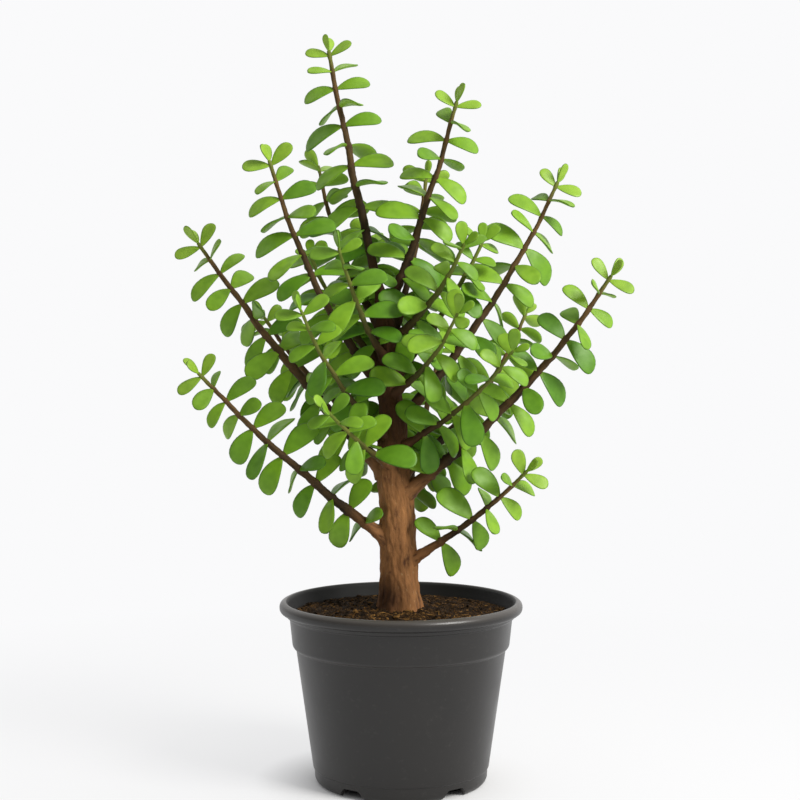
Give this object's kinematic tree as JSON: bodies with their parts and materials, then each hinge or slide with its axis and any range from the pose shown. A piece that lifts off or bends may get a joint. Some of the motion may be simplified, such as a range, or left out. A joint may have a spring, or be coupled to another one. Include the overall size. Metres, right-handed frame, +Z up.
{
  "type": "potted jade plant",
  "caption": "Potted jade plant: a branching woody trunk with opposite spoon-shaped leaves, in soil in a round tapered nursery pot with a rolled rim.",
  "frame": {"origin": "centre of the pot's underside, on the plane the pot stands on", "axes": "+Z up along the pot's axis, -Y towards the front, +X to the right seen from the front"},
  "size_m": [0.3074, 0.2233, 0.5061],
  "materials": {
    "pot_plastic": "satin charcoal grey, lightly grained",
    "soil": "dark crumbly potting soil",
    "bark": "rough brown bark with upright streaks",
    "leaf": "fleshy mid-green leaf with a soft sheen"
  },
  "bodies": {
    "root": {"back_high": "leaf", "back_left": "leaf", "back_low": "leaf", "back_mid": "leaf", "back_right": "leaf", "back_upper_left": "leaf", "front_high": "leaf", "front_left": "leaf", "front_low": "leaf", "front_mid": "leaf", "front_right": "leaf", "inner_right": "leaf", "leader": "leaf", "left_high": "leaf", "left_low": "leaf", "mid_left": "leaf", "mid_right": "leaf", "pot": "pot_plastic", "right": "leaf", "right_high": "leaf", "right_low": "leaf", "soil": "soil", "trunk": "bark", "upper_left": "leaf", "upper_right": "leaf"}
  },
  "joints": []
}
